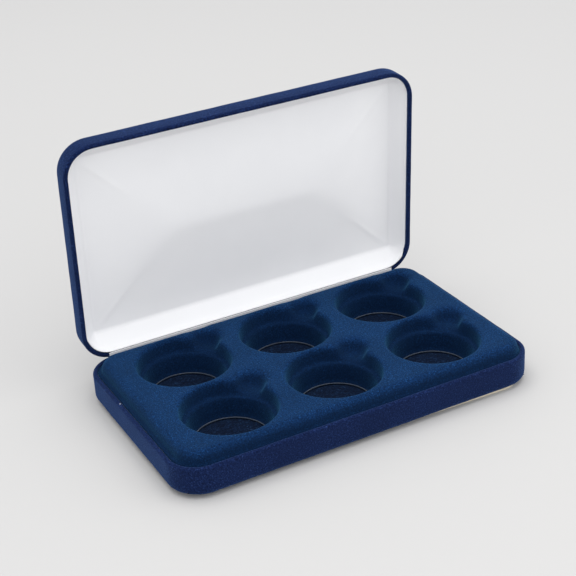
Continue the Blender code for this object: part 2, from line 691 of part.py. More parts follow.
def lining_plan():
    """Outside of the satin dish: it stands further from the back wall, for the hinges."""
    half_x = LID_HALF_X - SATIN_SIDE_GAP
    half_y = BASE_HALF_Y - (SATIN_SIDE_GAP + SATIN_BACK_GAP) / 2
    return (half_x, half_y, LID_CORNER - SATIN_SIDE_GAP)


def lining_y():
    return -(SATIN_BACK_GAP - SATIN_SIDE_GAP) / 2


def crown_profile(start_inset, depth, from_edge=0.0):
    """Panel bulging towards the tray, as (inset, height below the lid's outer face)."""
    points = []
    for k in range(CROWN_STEPS + 1):
        run = from_edge + (CROWN_RUN - from_edge) * k / CROWN_STEPS
        lift = CROWN * math.sin(math.pi / 2 * run / CROWN_RUN)
        points.append((start_inset + run, LID_DEPTH - depth + lift))
    return points


def make_lid_satin(lid):
    rim = LID_DEPTH - SATIN_RIM_DROP
    bend = LID_DEPTH - SATIN_STRAIGHT
    hidden = [(0.0, rim), (0.0, bend)] + crown_profile(SATIN_SLOPE, SATIN_DEPTH + SATIN)
    shown = [(SATIN, rim), (SATIN, bend)] + crown_profile(SATIN_SLOPE + SATIN / 2, SATIN_DEPTH)
    bm = bmesh.new()
    lid_outline(bm, lining_plan(), hidden[::-1] + shown, lining_y())
    return finish_object("lid_satin", bm, "white satin", lid)


def make_lid_foam(lid):
    floor = CARD_TOP + LINING_CARD + FOAM_CLEAR
    crown = crown_profile(SATIN_SLOPE, SATIN_DEPTH + SATIN + FOAM_CLEAR, FOAM_INSET)
    bm = bmesh.new()
    lid_outline(bm, lining_plan(), [(SATIN_SLOPE + FOAM_INSET, floor)] + crown, lining_y())
    return finish_object("lid_foam", bm, "white foam", lid)


def make_lid_card(lid):
    bm = bmesh.new()
    lid_outline(bm, lid_plan(), [(CARD_INSET, CARD_TOP), (CARD_INSET, CARD_TOP + LINING_CARD)])
    return finish_object("lid_card", bm, "grey board", lid)


def make_cover_strip():
    """Satin ribbon that hides the hinges between the lid's lining and the tray."""
    front = PIVOT_Y - KNUCKLE_RADIUS - 2 * GAP - COVER_STRIP
    bm = bmesh.new()
    box(bm, (-COVER_LENGTH / 2, front, BASE_HEIGHT - GAP),
        (COVER_LENGTH / 2, front + COVER_STRIP, PIVOT_Z + COVER_RISE))
    return finish_object("hinge_cover_strip", bm, "white satin", smooth=False)


def build():
    clear_scene()
    make_bottom_card()
    make_base_velvet()
    make_base_shell()
    make_floor_felt()
    make_tray_collar()
    make_coin_tray()
    lid = make_lid_frame()
    make_hinges(lid)
    make_lid_velvet(lid)
    make_lid_shell(lid)
    make_lid_satin(lid)
    make_lid_foam(lid)
    make_lid_card(lid)
    make_cover_strip()


build()
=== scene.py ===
import json
import math

import bmesh
import bpy
from mathutils import Matrix, Vector, noise


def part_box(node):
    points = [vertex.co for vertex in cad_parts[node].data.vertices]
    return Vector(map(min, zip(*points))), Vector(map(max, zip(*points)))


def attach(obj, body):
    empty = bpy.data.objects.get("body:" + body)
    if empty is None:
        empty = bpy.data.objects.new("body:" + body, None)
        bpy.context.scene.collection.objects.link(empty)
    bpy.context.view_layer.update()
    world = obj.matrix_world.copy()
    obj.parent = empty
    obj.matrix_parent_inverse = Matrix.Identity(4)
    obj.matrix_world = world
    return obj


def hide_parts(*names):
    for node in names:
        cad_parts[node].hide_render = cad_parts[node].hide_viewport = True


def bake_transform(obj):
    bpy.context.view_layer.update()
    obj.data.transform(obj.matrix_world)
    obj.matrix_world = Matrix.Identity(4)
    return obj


# Looks for the hinged velvet coin case: velvet, flock, satin lining, card and plated hinges.

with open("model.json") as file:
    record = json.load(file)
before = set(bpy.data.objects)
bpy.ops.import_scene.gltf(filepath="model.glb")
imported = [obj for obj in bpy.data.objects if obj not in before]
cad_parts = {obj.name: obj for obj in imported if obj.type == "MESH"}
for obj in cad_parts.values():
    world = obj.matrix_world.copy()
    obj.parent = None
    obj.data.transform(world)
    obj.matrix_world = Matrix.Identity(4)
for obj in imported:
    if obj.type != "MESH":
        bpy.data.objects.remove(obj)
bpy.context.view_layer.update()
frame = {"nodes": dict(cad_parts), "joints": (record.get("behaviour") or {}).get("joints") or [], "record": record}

MM = 0.001
nodes = frame["nodes"]
hinge = frame["joints"][0]
PIVOT = Vector(hinge["pos_m"])
OPEN_ANGLE = math.radians(hinge["range_deg"][1])
OPENED = Matrix.Translation(PIVOT) @ Matrix.Rotation(-OPEN_ANGLE, 4, "X") @ Matrix.Translation(-PIVOT)
CLOSED = OPENED.inverted()

# ---- covering of both pans
BASE_CORNER = 17.0 * MM
LID_CORNER = 16.3 * MM
CORNER_STEPS = 14
BELLY = 4.0 * MM                # rounding between wall and flat face
RIM_WIDTH = 2.4 * MM
RIM_OUTER_ROUND = 1.2 * MM
RIM_INNER_ROUND = 0.8 * MM
RIM_FOLD = 2.8 * MM
TURN_UNDER = 12.0 * MM
HINGE_ROOM = 0.4 * MM           # velvet cut away past each end of a hinge
HINGE_REACH = 1.9 * MM          # and round its pin
VELVET = 0.45 * MM
PILE_WAVE = 0.10 * MM           # unevenness of the stretched velvet
PILE_WAVE_SCALE = 90.0

# ---- wells
WALL_TOP = 24.67 * MM
WALL_FOOT = 23.57 * MM
LEDGE_EDGE = 21.67 * MM
HOLE_FOOT = 19.77 * MM
PUNCH_RADIUS = 18.97 * MM
LEDGE_DEPTH = 8.5 * MM
WELL_LIP = 1.1 * MM
WELL_STEPS = 96
TRAY_SHEET = 0.9 * MM
TRAY_EDGE = 4.8 * MM
TRAY_CORNER = 11.0 * MM
TRAY_SIDE = 4.7 * MM            # raised field in from the outside of the case
TRAY_FRONT = 3.7 * MM
TRAY_BACK = 6.1 * MM
NOTCH_RADIUS = 8.7 * MM
NOTCH_DEPTH = 7.0 * MM
NOTCH_DRAFT = 1.6 * MM
NOTCH_FILLET = 3.6 * MM
NOTCH_LIP = 1.2 * MM
NOTCH_WORN = 5.0 * MM           # the softened ground round a notch
NOTCH_REACH = 25.9 * MM
NOTCH_BEARING = math.radians(39)
NOTCH_STEPS = 48
TRAY_VOXEL = 0.7 * MM
FLOCK_SMOOTHS = 9               # smoothing passes all over, and again round the notches
NOTCH_SMOOTHS = 85
FLANGE_IN = RIM_WIDTH - 0.1 * MM
FLANGE_BELOW = 0.5 * MM         # flange below the top of the rim
OVERCUT = 1.0 * MM


# ---- small tools ----------------------------------------------------------------

def closed_box(node):
    """Box of a lid node with the lid shut."""
    places = [CLOSED @ v.co for v in nodes[node].data.vertices]
    low = Vector((min(p.x for p in places), min(p.y for p in places), min(p.z for p in places)))
    high = Vector((max(p.x for p in places), max(p.y for p in places), max(p.z for p in places)))
    return low, high


def new_piece(name, bm, material, turn=None):
    """A mesh object at the origin; turn opens a piece that was built with the lid shut."""
    if turn is not None:
        bmesh.ops.transform(bm, matrix=turn, verts=bm.verts)
    mesh = bpy.data.meshes.new(name)
    bm.to_mesh(mesh)
    bm.free()
    piece = bpy.data.objects.new(name, mesh)
    bpy.context.scene.collection.objects.link(piece)
    if material is not None:
        mesh.materials.append(material)
    mesh.shade_smooth()
    return piece


def baked(piece):
    """Applies a piece's modifiers and gives it the mesh that results."""
    graph = bpy.context.evaluated_depsgraph_get()
    made = bpy.data.meshes.new_from_object(piece.evaluated_get(graph), depsgraph=graph)
    piece.modifiers.clear()
    piece.data = made
    made.name = piece.name
    return piece


def discard(*pieces):
    for piece in pieces:
        bpy.data.objects.remove(piece, do_unlink=True)


def settle(piece, body, slot_name, *stands_for):
    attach(piece, body)
    if stands_for:
        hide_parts(*stands_for)
    return piece


def block(bm, low, high):
    size = Vector(high) - Vector(low)
    place = Matrix.Translation((Vector(high) + Vector(low)) / 2) @ Matrix.Diagonal((*size, 1.0))
    bmesh.ops.create_cube(bm, size=1.0, matrix=place)


def round_edges(bm, edges, offset, steps):
    bmesh.ops.bevel(bm, geom=edges, offset=offset, offset_type="OFFSET", segments=steps,
                    profile=0.5, affect="EDGES", clamp_overlap=True, material=-1)


def upright_edges(bm):
    return [e for e in bm.edges if abs(e.verts[0].co.z - e.verts[1].co.z) > 0.5 * MM
            and (e.verts[0].co.xy - e.verts[1].co.xy).length < 0.01 * MM]


def edges_at(bm, z):
    return [e for e in bm.edges if all(abs(v.co.z - z) < 0.01 * MM for v in e.verts)]


def level_face(bm, z, facing):
    """The flat face at height z that looks up (1) or down (-1)."""
    return next(f for f in bm.faces if facing * f.normal.z > 0.9
                and abs(f.calc_center_median().z - z) < 0.01 * MM)


def rounded_block(bm, low, high, corner):
    block(bm, low, high)
    round_edges(bm, upright_edges(bm), corner, CORNER_STEPS)


def arc(centre, radius, start, stop, steps):
    points = []
    for k in range(steps + 1):
        angle = math.radians(start + (stop - start) * k / steps)
        points.append((centre[0] + radius * math.cos(angle), centre[1] + radius * math.sin(angle)))
    return points


def turned(bm, profile, steps, centre=(0.0, 0.0), closed=False):
    """Spins a profile of (radius, z) about an upright line."""
    middle = Vector((centre[0], centre[1], 0.0))
    verts = [bm.verts.new(middle + Vector((r, 0.0, z))) for r, z in profile]
    edges = [bm.edges.new(pair) for pair in zip(verts, verts[1:])]
    if closed:
        edges.append(bm.edges.new((verts[-1], verts[0])))
    bmesh.ops.spin(bm, geom=verts + edges, cent=middle, axis=(0, 0, 1),
                   angle=2 * math.pi, steps=steps, use_merge=True)


def outwards(bm):
    bmesh.ops.remove_doubles(bm, verts=bm.verts, dist=0.0005 * MM)
    bmesh.ops.recalc_face_normals(bm, faces=bm.faces)


def ruffle(bm, amount, scale, seed):
    """Moves every vertex a little along its normal, by a smooth random field."""
    bm.normal_update()
    away = Vector((seed, 2.3 * seed, -1.7 * seed))
    for v in bm.verts:
        v.co += v.normal * amount * noise.noise(v.co * scale + away)


def cut_long_edges(bm, spacing):
    """Even cuts along the straight stretches, so that they can be ruffled."""
    for axis in range(3):
        across = [a for a in range(3) if a != axis]
        groups = {}
        for e in bm.edges:
            along = e.verts[0].co - e.verts[1].co
            if abs(along[axis]) > 2 * spacing and all(abs(along[a]) < 0.05 * MM for a in across):
                groups.setdefault(round(abs(along[axis]) / (0.5 * MM)), []).append(e)
        for length, edges in groups.items():
            cuts = max(1, round(length * 0.5 * MM / spacing) - 1)
            bmesh.ops.subdivide_edges(bm, edges=edges, cuts=cuts, use_grid_fill=True)


# ---- materials --------------------------------------------------------------------

class Finish:
    """A node-based material under construction."""

    def __init__(self, name, roughness, specular=0.5, metallic=0.0):
        self.material = bpy.data.materials.new(name)
        self.material.use_nodes = True
        self.tree = self.material.node_tree
        self.shader = self.tree.nodes["Principled BSDF"]
        self.shader.inputs["Roughness"].default_value = roughness
        self.shader.inputs["Specular IOR Level"].default_value = specular
        self.shader.inputs["Metallic"].default_value = metallic
        self.where = self.tree.nodes.new("ShaderNodeTexCoord").outputs["Object"]

    def node(self, kind, **values):
        made = self.tree.nodes.new(kind)
        for key, value in values.items():
            setattr(made, key, value)
        return made

    def join(self, output, into):
        self.tree.links.new(output, into)

    def stretched(self, scale):
        mapping = self.node("ShaderNodeMapping")
        mapping.inputs["Scale"].default_value = scale
        self.join(self.where, mapping.inputs["Vector"])
        return mapping.outputs["Vector"]

    def grain(self, scale, detail=2.0, rough=0.5, where=None):
        made = self.node("ShaderNodeTexNoise")
        made.inputs["Scale"].default_value = scale
        made.inputs["Detail"].default_value = detail
        made.inputs["Roughness"].default_value = rough
        self.join(where or self.where, made.inputs["Vector"])
        return made.outputs["Fac"]

    def remap(self, value, low, high, out_low=0.0, out_high=1.0):
        made = self.node("ShaderNodeMapRange", clamp=True)
        made.inputs["From Min"].default_value = low
        made.inputs["From Max"].default_value = high
        made.inputs["To Min"].default_value = out_low
        made.inputs["To Max"].default_value = out_high
        self.join(value, made.inputs["Value"])
        return made.outputs["Result"]

    def specks(self, scale, size, share):
        """Small dots, one in each chosen cell of a random pattern."""
        made = self.node("ShaderNodeTexVoronoi")
        made.inputs["Scale"].default_value = scale
        self.join(self.where, made.inputs["Vector"])
        dot = self.remap(made.outputs["Distance"], size, 2.0 * size, 1.0, 0.0)
        parts = self.node("ShaderNodeSeparateColor")
        self.join(made.outputs["Color"], parts.inputs["Color"])
        chosen = self.maths(parts.outputs["Red"], 1.0 - share, "GREATER_THAN")
        return self.maths(dot, chosen, "MULTIPLY")

    def maths(self, first, second, operation="ADD"):
        """One sum, product or comparison of two values."""
        made = self.node("ShaderNodeMath", operation=operation)
        self.join(first, made.inputs[0])
        if isinstance(second, float):
            made.inputs[1].default_value = second
        else:
            self.join(second, made.inputs[1])
        return made.outputs["Value"]

    def blend(self, share, first, second):
        """Mix of two colours, or of a colour socket and a colour."""
        made = self.node("ShaderNodeMix", data_type="RGBA")
        self.join(share, made.inputs["Factor"])
        for value, socket in ((first, made.inputs[6]), (second, made.inputs[7])):
            if isinstance(value, tuple):
                socket.default_value = (*value, 1.0)
            else:
                self.join(value, socket)
        return made.outputs[2]

    def colour(self, output):
        self.join(output, self.shader.inputs["Base Color"])

    def bump(self, height, strength, distance):
        made = self.node("ShaderNodeBump")
        made.inputs["Strength"].default_value = strength
        made.inputs["Distance"].default_value = distance
        self.join(height, made.inputs["Height"])
        self.join(made.outputs["Normal"], self.shader.inputs["Normal"])

    def sheen(self, weight, roughness, tint):
        self.shader.inputs["Sheen Weight"].default_value = weight
        self.shader.inputs["Sheen Roughness"].default_value = roughness
        self.shader.inputs["Sheen Tint"].default_value = (*tint, 1.0)


def pile(name, deep, mid, light, tuft, sheen, tint, lint=0.0, depth_shade=None):
    """Short pile: tufts a fraction of a millimetre across, the nap brushed both ways, and lint.

    The optional pair (height, share) paints shade: below that height the pile is painted darker, by up to that
    share, as shade in the hollows."""
    made = Finish(name, roughness=0.95, specular=0.08)
    tufts = made.grain(1.0 / tuft, detail=3.0, rough=0.65)
    nap = made.grain(55.0, detail=2.0)
    body = made.blend(made.remap(tufts, 0.36, 0.62), deep, mid)
    tips = made.remap(tufts, 0.58, 0.76)
    body = made.blend(tips, body, light)
    shade = made.remap(nap, 0.35, 0.68, 0.0, 0.30)
    body = made.blend(shade, body, deep)
    # painted shade: pile lower than the given height is darkened towards the deep colour, standing in for the
    # shade in hollows
    if depth_shade:
        top, most = depth_shade
        apart = made.node("ShaderNodeSeparateXYZ")
        made.join(made.where, apart.inputs["Vector"])
        painted_depth_shade = made.remap(apart.outputs["Z"], top - 3.0 * MM, top - 0.7 * MM, most, 0.0)
        body = made.blend(painted_depth_shade, body, deep)
    if lint:
        body = made.blend(made.specks(120.0, 0.035, lint), body, (0.42, 0.45, 0.52))
    made.colour(body)
    made.bump(tufts, 0.9, 0.45 * tuft)
    made.sheen(sheen, 0.42, tint)
    return made.material


def satin_cloth(name, colour, shade):
    """Fine satin: long floats one way, seen only as a faint line, and slow unevenness."""
    made = Finish(name, roughness=0.46, specular=0.35)
    floats = made.grain(900.0, detail=2.0, where=made.stretched((0.18, 2.2, 2.2)))
    slow = made.grain(38.0, detail=2.0)
    made.colour(made.blend(made.remap(slow, 0.3, 0.75), colour, shade))
    made.bump(made.maths(floats, made.maths(slow, 0.6, "MULTIPLY")), 0.10, 0.12 * MM)
    made.sheen(0.25, 0.35, (1.0, 1.0, 1.0))
    return made.material


def card_stock(name, colour, fibre):
    made = Finish(name, roughness=0.85, specular=0.2)
    fibres = made.grain(700.0, detail=4.0, rough=0.7, where=made.stretched((1.0, 1.0, 4.0)))
    made.colour(made.blend(made.remap(fibres, 0.35, 0.7), colour, fibre))
    made.bump(fibres, 0.4, 0.08 * MM)
    return made.material


def plated(name, colour, roughness):
    made = Finish(name, roughness=roughness, metallic=1.0)
    brushed = made.grain(1400.0, detail=2.0, where=made.stretched((0.06, 1.0, 1.0)))
    stains = made.grain(260.0, detail=3.0)
    dull = tuple(0.78 * c for c in colour)
    made.colour(made.blend(made.remap(stains, 0.42, 0.75), colour, dull))
    uneven = made.remap(brushed, 0.3, 0.7, roughness * 0.8, roughness * 1.35)
    made.join(uneven, made.shader.inputs["Roughness"])
    made.bump(brushed, 0.15, 0.02 * MM)
    return made.material


def moulded(name, colour):
    made = Finish(name, roughness=0.5, specular=0.4)
    texture = made.grain(1600.0, detail=2.0)
    slow = made.grain(60.0)
    darker = tuple(0.88 * c for c in colour)
    made.colour(made.blend(made.remap(slow, 0.3, 0.7), colour, darker))
    made.bump(texture, 0.25, 0.03 * MM)
    return made.material


velvet = pile("navy_velvet_pile", (0.0022, 0.0056, 0.027), (0.0080, 0.0198, 0.082), (0.030, 0.062, 0.18),
              0.72 * MM, 0.24, (0.18, 0.40, 0.98), lint=0.06)
# the flock is painted darker below the tray's top, as shade in the wells, the notches and round the raised field
flock = pile("blue_flock_pile", (0.0012, 0.0085, 0.030), (0.0046, 0.0310, 0.112), (0.016, 0.080, 0.24),
             0.70 * MM, 0.18, (0.10, 0.50, 1.0), depth_shade=(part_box("coin_tray")[1].z, 0.62))
felt = pile("dark_felt_pile", (0.0012, 0.0040, 0.014), (0.0032, 0.0110, 0.036), (0.022, 0.060, 0.14),
            1.0 * MM, 0.12, (0.3, 0.5, 0.8), lint=0.12)
satin = satin_cloth("white_satin_cloth", (0.880, 0.880, 0.890), (0.858, 0.858, 0.870))
card = card_stock("cream_card_stock", (0.80, 0.735, 0.60), (0.66, 0.58, 0.45))
board = card_stock("grey_board_stock", (0.45, 0.43, 0.40), (0.36, 0.34, 0.31))
plastic = moulded("cream_shell_plastic", (0.70, 0.66, 0.56))
wool = pile("white_wadding", (0.62, 0.61, 0.58), (0.80, 0.79, 0.75), (0.90, 0.89, 0.86),
            1.1 * MM, 0.1, (1, 1, 1))
cut_sheet = moulded("cut_sheet_edge", (0.09, 0.115, 0.16))
nickel = plated("nickel_plate", (0.60, 0.60, 0.58), 0.28)
blued = plated("blued_spring", (0.30, 0.32, 0.36), 0.30)
aluminium = plated("bare_aluminium", (0.70, 0.70, 0.71), 0.35)


# ---- velvet over both pans --------------------------------------------------------

def velvet_pan(low, high, corner, belly, seed, open_floor):
    """Skin of a covered pan with its rim up: wall, rolled rim and the fold inside."""
    bm = bmesh.new()
    rounded_block(bm, low, high, corner)
    round_edges(bm, edges_at(bm, low.z), belly, 8)
    top = level_face(bm, high.z, 1.0)
    outer = list(top.edges)
    bmesh.ops.inset_region(bm, faces=[top], thickness=RIM_WIDTH, use_even_offset=True)
    inner = list(top.edges)
    grown = bmesh.ops.extrude_face_region(bm, geom=[top])
    fold = [g for g in grown["geom"] if isinstance(g, bmesh.types.BMVert)]
    bmesh.ops.translate(bm, verts=fold, vec=(0, 0, -RIM_FOLD))
    floor = [g for g in grown["geom"] if isinstance(g, bmesh.types.BMFace)]
    bmesh.ops.delete(bm, geom=floor + ([top] if top.is_valid else []), context="FACES")
    round_edges(bm, [e for e in outer if e.is_valid], RIM_OUTER_ROUND, 5)
    round_edges(bm, [e for e in inner if e.is_valid], RIM_INNER_ROUND, 4)
    if open_floor:
        under = level_face(bm, low.z, -1.0)
        bmesh.ops.inset_region(bm, faces=[under], thickness=TURN_UNDER - belly, use_even_offset=True)
        bmesh.ops.delete(bm, geom=[under], context="FACES")
    cut_long_edges(bm, 3.0 * MM)
    outwards(bm)
    ruffle(bm, PILE_WAVE, PILE_WAVE_SCALE, seed)
    return bm


def thicken(piece, thickness):
    step = piece.modifiers.new("thickness", "SOLIDIFY")
    step.thickness = thickness
    step.offset = -1.0
    return piece


def cut_for_hinges(piece):
    """Cuts the velvet away round the knuckles, pins and leaves."""
    bm = bmesh.new()
    for side in ("left", "right"):
        low = min(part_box(f"hinge_{part}_{side}")[0].x for part in ("base_leaf", "pin"))
        high = max(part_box(f"hinge_{part}_{side}")[1].x for part in ("base_leaf", "pin"))
        block(bm, (low - HINGE_ROOM, PIVOT.y - HINGE_REACH, PIVOT.z - HINGE_REACH),
              (high + HINGE_ROOM, PIVOT.y + HINGE_REACH, PIVOT.z + HINGE_REACH))
    tool = new_piece("hinge_room", bm, None)
    step = piece.modifiers.new("hinge_room", "BOOLEAN")
    step.operation = "DIFFERENCE"
    step.solver = "EXACT"
    step.object = tool
    baked(piece)
    discard(tool)


base_low, base_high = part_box("base_velvet")
base_wrap = new_piece("base_wrap", velvet_pan(base_low, base_high, BASE_CORNER, BELLY, 1.0, True), velvet)
thicken(base_wrap, VELVET)
settle(base_wrap, "base", "navy_velvet", "base_velvet")

lid_low, lid_high = closed_box("lid_velvet")
FLIP = Matrix.Diagonal((1.0, 1.0, -1.0, 1.0))
lid_skin = velvet_pan(Vector((lid_low.x, lid_low.y, -lid_high.z)),
                      Vector((lid_high.x, lid_high.y, -lid_low.z)), LID_CORNER, BELLY, 2.0, False)
bmesh.ops.transform(lid_skin, matrix=FLIP, verts=lid_skin.verts)
outwards(lid_skin)
lid_wrap = new_piece("lid_wrap", lid_skin, velvet, OPENED)
thicken(lid_wrap, VELVET)
cut_for_hinges(lid_wrap)
settle(lid_wrap, "lid", "navy_velvet", "lid_velvet")


# ---- flocked tray -------------------------------------------------------------------

tray_low, tray_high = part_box("coin_tray")
TRAY_TOP = tray_high.z
FLANGE_TOP = base_high.z - FLANGE_BELOW
LEDGE_Z = TRAY_TOP - LEDGE_DEPTH
WELLS = []
for mount in frame["record"]["mounts"]:
    if mount["name"].startswith("capsule_ledge"):
        ledge_x, ledge_y, _ = mount["pos_m"]
        WELLS.append((ledge_x + (LEDGE_EDGE + WALL_FOOT) / 2, ledge_y))


def well_profile():
    centre = (WALL_TOP + WELL_LIP, TRAY_TOP - WELL_LIP)
    profile = [(0.0, TRAY_TOP + OVERCUT), (WALL_TOP + WELL_LIP, TRAY_TOP + OVERCUT)]
    profile += arc(centre, WELL_LIP, 90, 180, 6)
    profile += [(WALL_FOOT, LEDGE_Z), (LEDGE_EDGE, LEDGE_Z)]
    profile += [(HOLE_FOOT, tray_low.z + TRAY_SHEET), (PUNCH_RADIUS, tray_low.z + TRAY_SHEET)]
    profile += [(PUNCH_RADIUS, tray_low.z - 2 * OVERCUT), (0.0, tray_low.z - 2 * OVERCUT)]
    return profile


def notch_profile():
    foot = NOTCH_RADIUS - NOTCH_DRAFT
    floor = TRAY_TOP - NOTCH_DEPTH
    bend = arc((foot - NOTCH_FILLET, floor + NOTCH_FILLET), NOTCH_FILLET, 0, -90, 6)
    mouth = NOTCH_RADIUS + 0.6 * NOTCH_LIP
    lip = arc((mouth, TRAY_TOP - NOTCH_LIP), NOTCH_LIP, 90, 180, 5)
    return [(0.0, TRAY_TOP + OVERCUT), (mouth, TRAY_TOP + OVERCUT)] + lip + bend + [(0.0, floor)]


def flocked_tray():
    """Top skin of the formed sheet, softened by the flock, then thickened."""
    bm = bmesh.new()
    rounded_block(bm, (base_low.x + FLANGE_IN, base_low.y + FLANGE_IN, tray_low.z - OVERCUT),
                  (base_high.x - FLANGE_IN, base_high.y - FLANGE_IN, FLANGE_TOP),
                  BASE_CORNER - FLANGE_IN)
    tray = new_piece("tray_work", bm, None)
    bm = bmesh.new()
    rounded_block(bm, (base_low.x + TRAY_SIDE, base_low.y + TRAY_FRONT, FLANGE_TOP - OVERCUT),
                  (base_high.x - TRAY_SIDE, base_high.y - TRAY_BACK, TRAY_TOP), TRAY_CORNER)
    round_edges(bm, edges_at(bm, TRAY_TOP), TRAY_EDGE, 8)
    field = new_piece("field_work", bm, None)
    wells, notches = bmesh.new(), bmesh.new()
    notch_spots = [Vector((x + NOTCH_REACH * math.cos(NOTCH_BEARING),
                           y + NOTCH_REACH * math.sin(NOTCH_BEARING))) for x, y in WELLS]
    for place, spot in zip(WELLS, notch_spots):
        turned(wells, well_profile(), WELL_STEPS, place)
        turned(notches, notch_profile(), NOTCH_STEPS, spot)
    outwards(wells)
    outwards(notches)
    well_tool = new_piece("well_work", wells, None)
    notch_tool = new_piece("notch_work", notches, None)
    for tool, operation in ((field, "UNION"), (well_tool, "DIFFERENCE"), (notch_tool, "DIFFERENCE")):
        step = tray.modifiers.new(operation, "BOOLEAN")
        step.operation = operation
        step.solver = "EXACT"
        step.object = tool
    step = tray.modifiers.new("even", "REMESH")
    step.mode = "VOXEL"
    step.voxel_size = TRAY_VOXEL
    step = tray.modifiers.new("soften", "SMOOTH")
    step.factor = 0.5
    step.iterations = FLOCK_SMOOTHS
    baked(tray)
    discard(field, well_tool, notch_tool)
    group = tray.vertex_groups.new(name="notches")
    reach = NOTCH_RADIUS + NOTCH_WORN
    around = [v.index for v in tray.data.vertices if v.co.z > LEDGE_Z + 0.6 * MM
              and any((v.co.xy - spot).length < reach for spot in notch_spots)]
    group.add(around, 1.0, "REPLACE")
    step = tray.modifiers.new("worn_notches", "SMOOTH")
    step.vertex_group = "notches"
    step.factor = 0.5
    step.iterations = NOTCH_SMOOTHS
    baked(tray)
    tray.vertex_groups.clear()

    bm = bmesh.new()
    bm.from_mesh(tray.data)
    bm.normal_update()
    half_x = base_high.x - TRAY_SIDE
    hidden = []
    for face in bm.faces:
        middle = face.calc_center_median()
        beyond = abs(middle.x) > half_x or not base_low.y + TRAY_FRONT < middle.y < base_high.y - TRAY_BACK
        below = middle.z < tray_low.z + 0.35 * MM
        if below or (beyond and middle.z < FLANGE_TOP - 0.45 * MM):
            hidden.append(face)
    bmesh.ops.delete(bm, geom=hidden, context="FACES")
    bm.to_mesh(tray.data)
    bm.free()
    step = tray.modifiers.new("fewer", "DECIMATE")
    step.ratio = 0.5
    step = tray.modifiers.new("sheet", "SOLIDIFY")
    step.thickness = TRAY_SHEET * 0.8
    step.offset = -1.0
    baked(tray)
    tray.name = "flocked_tray"
    tray.data.materials.clear()
    tray.data.materials.append(flock)
    tray.data.shade_smooth()
    return tray


settle(flocked_tray(), "base", "blue_flock", "coin_tray")


CUT_ROUND = 0.08 * MM
CUT_OUTSIDE = 0.20 * MM          # cut edge past the hole's radius, into the sheet
CUT_LIFT = 0.05 * MM


def punched_edges():
    """Bare cut edge of the sheet round each punched hole."""
    bm = bmesh.new()
    low = tray_low.z
    thick = TRAY_SHEET * 0.85
    inner = PUNCH_RADIUS - CUT_ROUND
    outer = PUNCH_RADIUS + CUT_OUTSIDE
    for x, y in WELLS:
        ring = arc((outer - CUT_ROUND, low + thick - CUT_ROUND), CUT_ROUND, 0, 90, 2)
        ring += arc((inner + CUT_ROUND, low + thick - CUT_ROUND), CUT_ROUND, 90, 180, 2)
        ring += [(inner, low + CUT_LIFT), (outer, low + CUT_LIFT)]
        turned(bm, ring, WELL_STEPS, (x, y), closed=True)
    outwards(bm)
    return new_piece("punched_edges", bm, cut_sheet)


settle(punched_edges(), "base", "blue_flock")


FELT = 0.35 * MM
FELT_BELOW = 0.1 * MM            # top of the felt below the top of the solid it stands for


def felt_floor():
    low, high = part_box("floor_felt")
    bm = bmesh.new()
    bmesh.ops.create_grid(bm, x_segments=90, y_segments=54, size=0.5,
                          matrix=Matrix.Diagonal((high.x - low.x, high.y - low.y, 1.0, 1.0)))
    bmesh.ops.translate(bm, verts=bm.verts, vec=(0, 0, high.z - FELT_BELOW))
    ruffle(bm, 0.10 * MM, 160.0, 5.0)
    return thicken(new_piece("felt_floor", bm, felt), FELT)


felt_sheet = settle(felt_floor(), "base", "dark_felt", "floor_felt")


# ---- satin lining -------------------------------------------------------------------

SATIN = 0.4 * MM
LINING_SIDE = 2.7 * MM
LINING_BACK = 3.6 * MM
BAND = 6.7 * MM                 # plan width of the sloping wall
BAND_BACK = 8.2 * MM            # the same along the hinge
LINING_DROP = 2.1 * MM          # edge behind the rim plane
LINING_DROP_BACK = 0.4 * MM     # the same along the hinge
STRAIGHT = 3.0 * MM             # depth of the upright part of the wall
PANEL_DEPTH = 9.9 * MM
PUFF = 3.1 * MM
RIDGE_SOFT = 2.2 * MM
SLACK = 1.0                     # how far the slope by the hinge sags towards its edge
SLACK_SOFT = 4.0 * MM
CREASE = 0.45 * MM
CREASE_HALF = 1.3 * MM
CREASE_RUN = 34.0 * MM
BAND_STEPS = 8
WADDING = 0.8 * MM
WADDING_INSET = 12.0 * MM
WADDING_BEHIND = 0.6 * MM       # front of the pad behind the front of the satin
PANEL_STEPS_X = 180
PANEL_STEPS_Y = 100


def smooth_least(values, softness):
    """Soft minimum, so that the ridges between the faces are rounded."""
    total = sum(math.exp(-v / softness) for v in values)
    return -softness * math.log(total)


PANEL_X = lid_high.x - LINING_SIDE - BAND
PANEL_FRONT = lid_low.y + LINING_SIDE + BAND
PANEL_BACK = lid_high.y - LINING_BACK - BAND_BACK


def puff(x, y):
    """Four nearly flat slopes that meet in soft hips and a ridge, with a crease out of each corner."""
    away = (x + PANEL_X, PANEL_X - x, y - PANEL_FRONT, PANEL_BACK - y)
    least = max(0.0, smooth_least(away, 0.25 * MM + min(RIDGE_SOFT, 0.06 * min(away))))
    run = min(2 * least / (PANEL_BACK - PANEL_FRONT), 1.0)
    pulls = [math.exp((min(away) - a) / SLACK_SOFT) for a in away]
    slack = pulls[3] / sum(pulls)
    taut = 0.72 * run + 0.28 * (1 - (1 - run) ** 2)
    rise = PUFF * (taut + SLACK * slack * (run ** 2 - taut))
    from_hip = abs(min(away[0], away[1]) - min(away[2], away[3])) / math.sqrt(2)
    along = min(away) / CREASE_RUN
    if from_hip < 2 * CREASE_HALF and along < 1.0:
        fold = math.exp(-(from_hip / CREASE_HALF) ** 2)
        rise += CREASE * fold * math.sin(math.pi * along) * (1 - along)
    return rise


